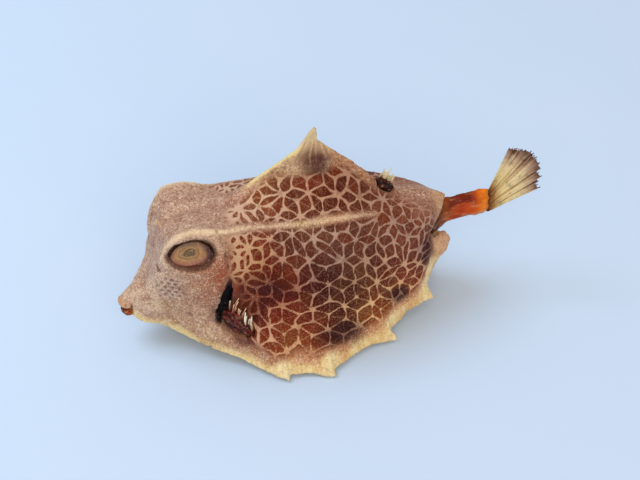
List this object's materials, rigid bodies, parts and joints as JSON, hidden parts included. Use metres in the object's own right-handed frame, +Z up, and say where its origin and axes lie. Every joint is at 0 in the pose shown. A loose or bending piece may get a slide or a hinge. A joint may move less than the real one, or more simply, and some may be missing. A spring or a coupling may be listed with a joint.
{
  "type": "dried boxfish",
  "caption": "Dried humpback turretfish with a rigid plated shell, a tall back spine, thorned belly edges, sunken eyes and a fanned tail.",
  "frame": {"origin": "centre of the bounding box, at the level the belly stands on", "axes": "-X towards the mouth, +X towards the tail fin, -Y towards the fish's left flank, +Z up through the back spine"},
  "size_m": [0.122, 0.062, 0.0626],
  "materials": {
    "shell": "dried bony skin: pinkish tan head, dark red-brown plates with pale raised lines, satin",
    "eye": "dried eye, golden brown and slightly translucent, dark maroon rim, glossy",
    "upper_lip": "dried skin, orange tan, satin",
    "flesh": "dried flesh, dark red, satin to glossy",
    "stalk": "dried skin, amber orange, darker brown at its root, satin",
    "ray": "dried fin rays, horn-like, cream yellow, darker at root and tip"
  },
  "bodies": {
    "root": {"anal_fin_base": "flesh", "anal_ray_1": "ray", "anal_ray_2": "ray", "anal_ray_3": "ray", "anal_ray_4": "ray", "anal_ray_5": "ray", "anal_ray_6": "ray", "carapace": "shell", "caudal_ray_1": "ray", "caudal_ray_10": "ray", "caudal_ray_2": "ray", "caudal_ray_3": "ray", "caudal_ray_4": "ray", "caudal_ray_5": "ray", "caudal_ray_6": "ray", "caudal_ray_7": "ray", "caudal_ray_8": "ray", "caudal_ray_9": "ray", "dorsal_fin_base": "flesh", "dorsal_ray_1": "ray", "dorsal_ray_2": "ray", "dorsal_ray_3": "ray", "dorsal_ray_4": "ray", "dorsal_ray_5": "ray", "dorsal_ray_6": "ray", "eye_left": "eye", "eye_right": "eye", "lower_lip": "flesh", "pectoral_lobe_left": "flesh", "pectoral_lobe_right": "flesh", "pectoral_ray_left_1": "ray", "pectoral_ray_left_2": "ray", "pectoral_ray_left_3": "ray", "pectoral_ray_left_4": "ray", "pectoral_ray_left_5": "ray", "pectoral_ray_left_6": "ray", "pectoral_ray_left_7": "ray", "pectoral_ray_right_1": "ray", "pectoral_ray_right_2": "ray", "pectoral_ray_right_3": "ray", "pectoral_ray_right_4": "ray", "pectoral_ray_right_5": "ray", "pectoral_ray_right_6": "ray", "pectoral_ray_right_7": "ray", "tail_stalk": "stalk", "upper_lip": "upper_lip"}
  },
  "joints": []
}
